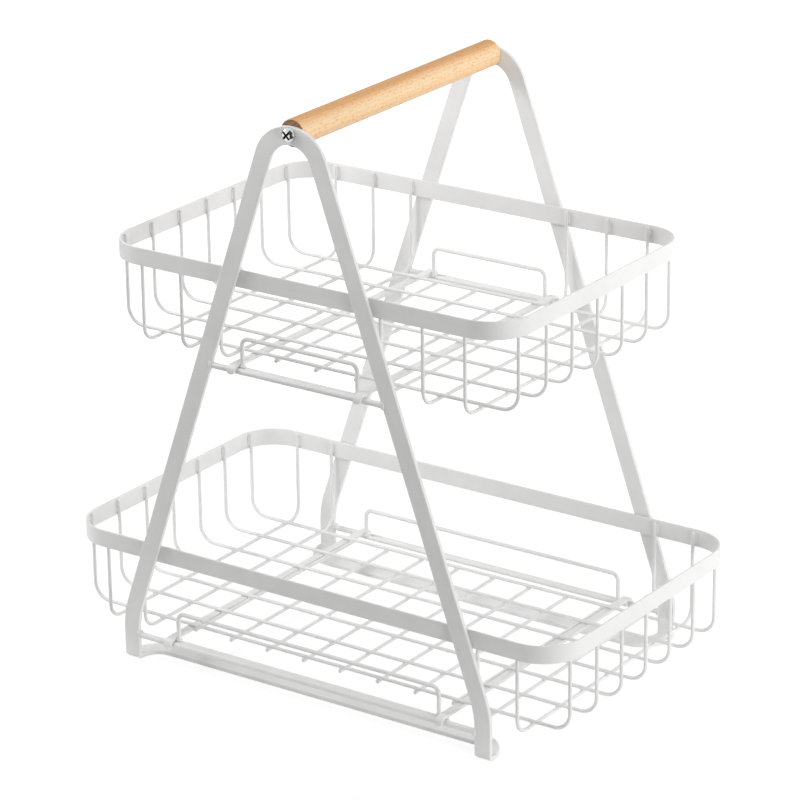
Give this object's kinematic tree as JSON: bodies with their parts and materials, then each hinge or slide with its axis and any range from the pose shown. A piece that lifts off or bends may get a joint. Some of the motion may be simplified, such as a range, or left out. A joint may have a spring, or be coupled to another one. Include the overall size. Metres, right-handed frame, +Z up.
{
  "type": "tiered wire basket",
  "caption": "Two-tier countertop basket stand: A-shaped flat-bar frames under a wooden dowel handle carry lift-out welded-wire baskets on hooked trays.",
  "frame": {"origin": "on the floor, midway between the four feet", "axes": "+Z up; +X along the baskets; +Y along the handle, from the front frame to the rear frame"},
  "size_m": [0.386, 0.2308, 0.394],
  "materials": {
    "white_coat": "satin powder coat",
    "beech": "smooth, lightly oiled",
    "bright_steel": "bright plated"
  },
  "bodies": {
    "stand": {"front_frame": "white_coat", "handle": "beech", "handle_screws": "bright_steel", "lower_front_crossbar": "white_coat", "lower_front_stopper": "white_coat", "lower_front_tray_wire": "white_coat", "lower_left_rail": "white_coat", "lower_rear_crossbar": "white_coat", "lower_rear_stopper": "white_coat", "lower_rear_tray_wire": "white_coat", "lower_right_rail": "white_coat", "rear_frame": "white_coat", "upper_front_crossbar": "white_coat", "upper_front_stopper": "white_coat", "upper_front_tray_wire": "white_coat", "upper_left_rail": "white_coat", "upper_rear_crossbar": "white_coat", "upper_rear_stopper": "white_coat", "upper_rear_tray_wire": "white_coat", "upper_right_rail": "white_coat"},
    "lower_basket": {"lower_basket_cross_wire_1": "white_coat", "lower_basket_cross_wire_2": "white_coat", "lower_basket_cross_wire_3": "white_coat", "lower_basket_cross_wire_4": "white_coat", "lower_basket_floor_wire_1": "white_coat", "lower_basket_floor_wire_2": "white_coat", "lower_basket_floor_wire_3": "white_coat", "lower_basket_floor_wire_4": "white_coat", "lower_basket_floor_wire_5": "white_coat", "lower_basket_floor_wire_6": "white_coat", "lower_basket_floor_wire_7": "white_coat", "lower_basket_floor_wire_8": "white_coat", "lower_basket_long_wire_1": "white_coat", "lower_basket_long_wire_2": "white_coat", "lower_basket_long_wire_3": "white_coat", "lower_basket_long_wire_4": "white_coat", "lower_basket_long_wire_5": "white_coat", "lower_basket_long_wire_6": "white_coat", "lower_basket_long_wire_7": "white_coat", "lower_basket_rim": "white_coat"},
    "upper_basket": {"upper_basket_cross_wire_1": "white_coat", "upper_basket_cross_wire_2": "white_coat", "upper_basket_cross_wire_3": "white_coat", "upper_basket_cross_wire_4": "white_coat", "upper_basket_cross_wire_5": "white_coat", "upper_basket_cross_wire_6": "white_coat", "upper_basket_floor_wire_1": "white_coat", "upper_basket_floor_wire_2": "white_coat", "upper_basket_floor_wire_3": "white_coat", "upper_basket_long_wire_1": "white_coat", "upper_basket_long_wire_2": "white_coat", "upper_basket_long_wire_3": "white_coat", "upper_basket_long_wire_4": "white_coat", "upper_basket_long_wire_5": "white_coat", "upper_basket_long_wire_6": "white_coat", "upper_basket_long_wire_7": "white_coat", "upper_basket_rim": "white_coat"}
  },
  "joints": [
    {"name": "lower_basket_lift", "type": "slide", "parent": "stand", "child": "lower_basket", "axis": [0, 0, 1], "range_m": [0, 0.12]},
    {"name": "upper_basket_lift", "type": "slide", "parent": "stand", "child": "upper_basket", "axis": [0, 0, 1], "range_m": [0, 0.075]}
  ]
}
